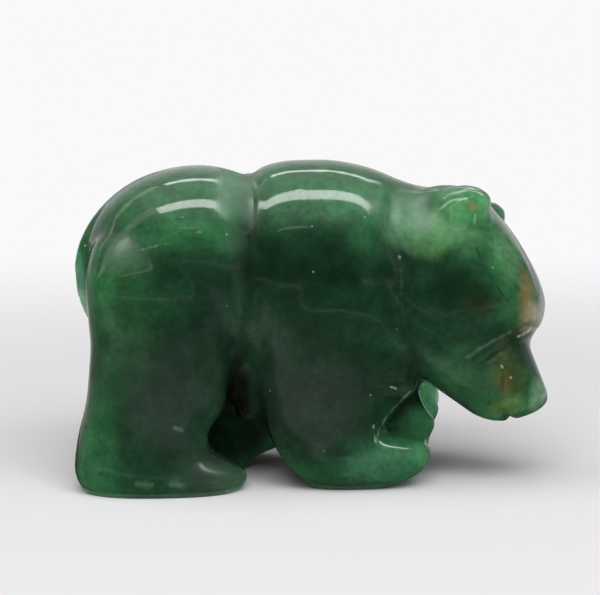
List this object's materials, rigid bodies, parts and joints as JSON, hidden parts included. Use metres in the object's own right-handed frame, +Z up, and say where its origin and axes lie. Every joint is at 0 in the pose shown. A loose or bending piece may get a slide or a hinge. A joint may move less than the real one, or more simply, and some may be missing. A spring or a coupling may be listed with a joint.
{
  "type": "bear carving",
  "caption": "Walking bear carved whole from polished green aventurine, head lowered and turned, standing on its four paws",
  "frame": {"origin": "on the ground, under the middle of the carving's box", "axes": "+X towards the bear's nose, +Y towards its left side, +Z up"},
  "size_m": [0.0496, 0.0238, 0.0333],
  "materials": {
    "aventurine": "polished"
  },
  "bodies": {
    "root": {"bear": "aventurine"}
  },
  "joints": []
}
